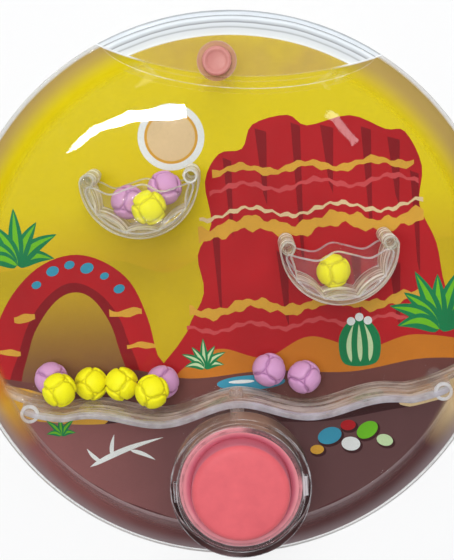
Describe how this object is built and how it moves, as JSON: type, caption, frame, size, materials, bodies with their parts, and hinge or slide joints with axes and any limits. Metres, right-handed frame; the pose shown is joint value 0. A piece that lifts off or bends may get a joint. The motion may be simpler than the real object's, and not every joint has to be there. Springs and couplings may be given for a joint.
{
  "type": "handheld water game",
  "caption": "Round clear water game with a thumb pump, a wavy shelf, two catch baskets and small loose balls behind a domed face.",
  "frame": {"origin": "centre of the case's footprint, on the surface that its back lies on", "axes": "+Z out of the face, +Y towards the filler plug, +X to the right as the player sees it"},
  "size_m": [0.14, 0.14, 0.0322],
  "materials": {
    "clear_front": "clear moulded plastic, glossy",
    "clear_back": "clear moulded plastic, glossy",
    "clear_parts": "clear moulded plastic, glossy",
    "white_plastic": "white moulded plastic, satin",
    "printed_card": "printed card, satin",
    "coral_rubber": "soft rubber, matte",
    "coral_rubber_rim": "soft rubber, matte",
    "pink_plug": "soft rubber, matte",
    "yellow_ball": "soft foam rubber, matte",
    "lilac_ball": "soft foam rubber, matte"
  },
  "bodies": {
    "case": {"front_shell": "clear_front", "back_shell": "clear_back", "back_cover": "white_plastic", "picture_card": "printed_card", "wave_shelf": "clear_parts", "left_basket": "clear_parts", "right_basket": "clear_parts", "pump_barrel": "clear_parts", "pump_nozzle": "clear_parts", "pump_cap_rim": "coral_rubber_rim", "cap_ring": "clear_parts"},
    "pump_crown": {"pump_cap_crown": "coral_rubber"},
    "plug": {"filler_plug": "pink_plug"},
    "ball_yellow_1": {"ball_yellow_1": "yellow_ball"},
    "ball_yellow_2": {"ball_yellow_2": "yellow_ball"},
    "ball_yellow_3": {"ball_yellow_3": "yellow_ball"},
    "ball_yellow_4": {"ball_yellow_4": "yellow_ball"},
    "ball_yellow_5": {"ball_yellow_5": "yellow_ball"},
    "ball_yellow_6": {"ball_yellow_6": "yellow_ball"},
    "ball_lilac_1": {"ball_lilac_1": "lilac_ball"},
    "ball_lilac_2": {"ball_lilac_2": "lilac_ball"},
    "ball_lilac_3": {"ball_lilac_3": "lilac_ball"},
    "ball_lilac_4": {"ball_lilac_4": "lilac_ball"},
    "ball_lilac_5": {"ball_lilac_5": "lilac_ball"},
    "ball_lilac_6": {"ball_lilac_6": "lilac_ball"}
  },
  "joints": [
    {"name": "pump_press", "type": "slide", "parent": "case", "child": "pump_crown", "axis": [0, 0, -1], "range_m": [0, 0.005], "stiffness_N_per_m": 1200},
    {"name": "plug_pull", "type": "slide", "parent": "case", "child": "plug", "axis": [0, 0, 1], "range_m": [0, 0.006]},
    {"name": "ball_yellow_1_rise", "type": "slide", "parent": "case", "child": "ball_yellow_1", "axis": [0, 1, 0], "range_m": [0, 0.046]},
    {"name": "ball_yellow_2_rise", "type": "slide", "parent": "case", "child": "ball_yellow_2", "axis": [0, 1, 0], "range_m": [0, 0.037]},
    {"name": "ball_yellow_3_rise", "type": "slide", "parent": "case", "child": "ball_yellow_3", "axis": [0, 1, 0], "range_m": [0, 0.033]},
    {"name": "ball_yellow_4_rise", "type": "slide", "parent": "case", "child": "ball_yellow_4", "axis": [0, 1, 0], "range_m": [0, 0.032]},
    {"name": "ball_yellow_5_rise", "type": "slide", "parent": "case", "child": "ball_yellow_5", "axis": [0, 1, 0], "range_m": [0, 0.014]},
    {"name": "ball_yellow_6_rise", "type": "slide", "parent": "case", "child": "ball_yellow_6", "axis": [0, 1, 0], "range_m": [0, 0.029]},
    {"name": "ball_lilac_1_rise", "type": "slide", "parent": "case", "child": "ball_lilac_1", "axis": [0, 1, 0], "range_m": [0, 0.045]},
    {"name": "ball_lilac_2_rise", "type": "slide", "parent": "case", "child": "ball_lilac_2", "axis": [0, 1, 0], "range_m": [0, 0.031]},
    {"name": "ball_lilac_3_rise", "type": "slide", "parent": "case", "child": "ball_lilac_3", "axis": [0, 1, 0], "range_m": [0, 0.026]},
    {"name": "ball_lilac_4_rise", "type": "slide", "parent": "case", "child": "ball_lilac_4", "axis": [0, 1, 0], "range_m": [0, 0.017]},
    {"name": "ball_lilac_5_rise", "type": "slide", "parent": "case", "child": "ball_lilac_5", "axis": [0, 1, 0], "range_m": [0, 0.016]},
    {"name": "ball_lilac_6_rise", "type": "slide", "parent": "case", "child": "ball_lilac_6", "axis": [0, 1, 0], "range_m": [0, 0.017]}
  ]
}
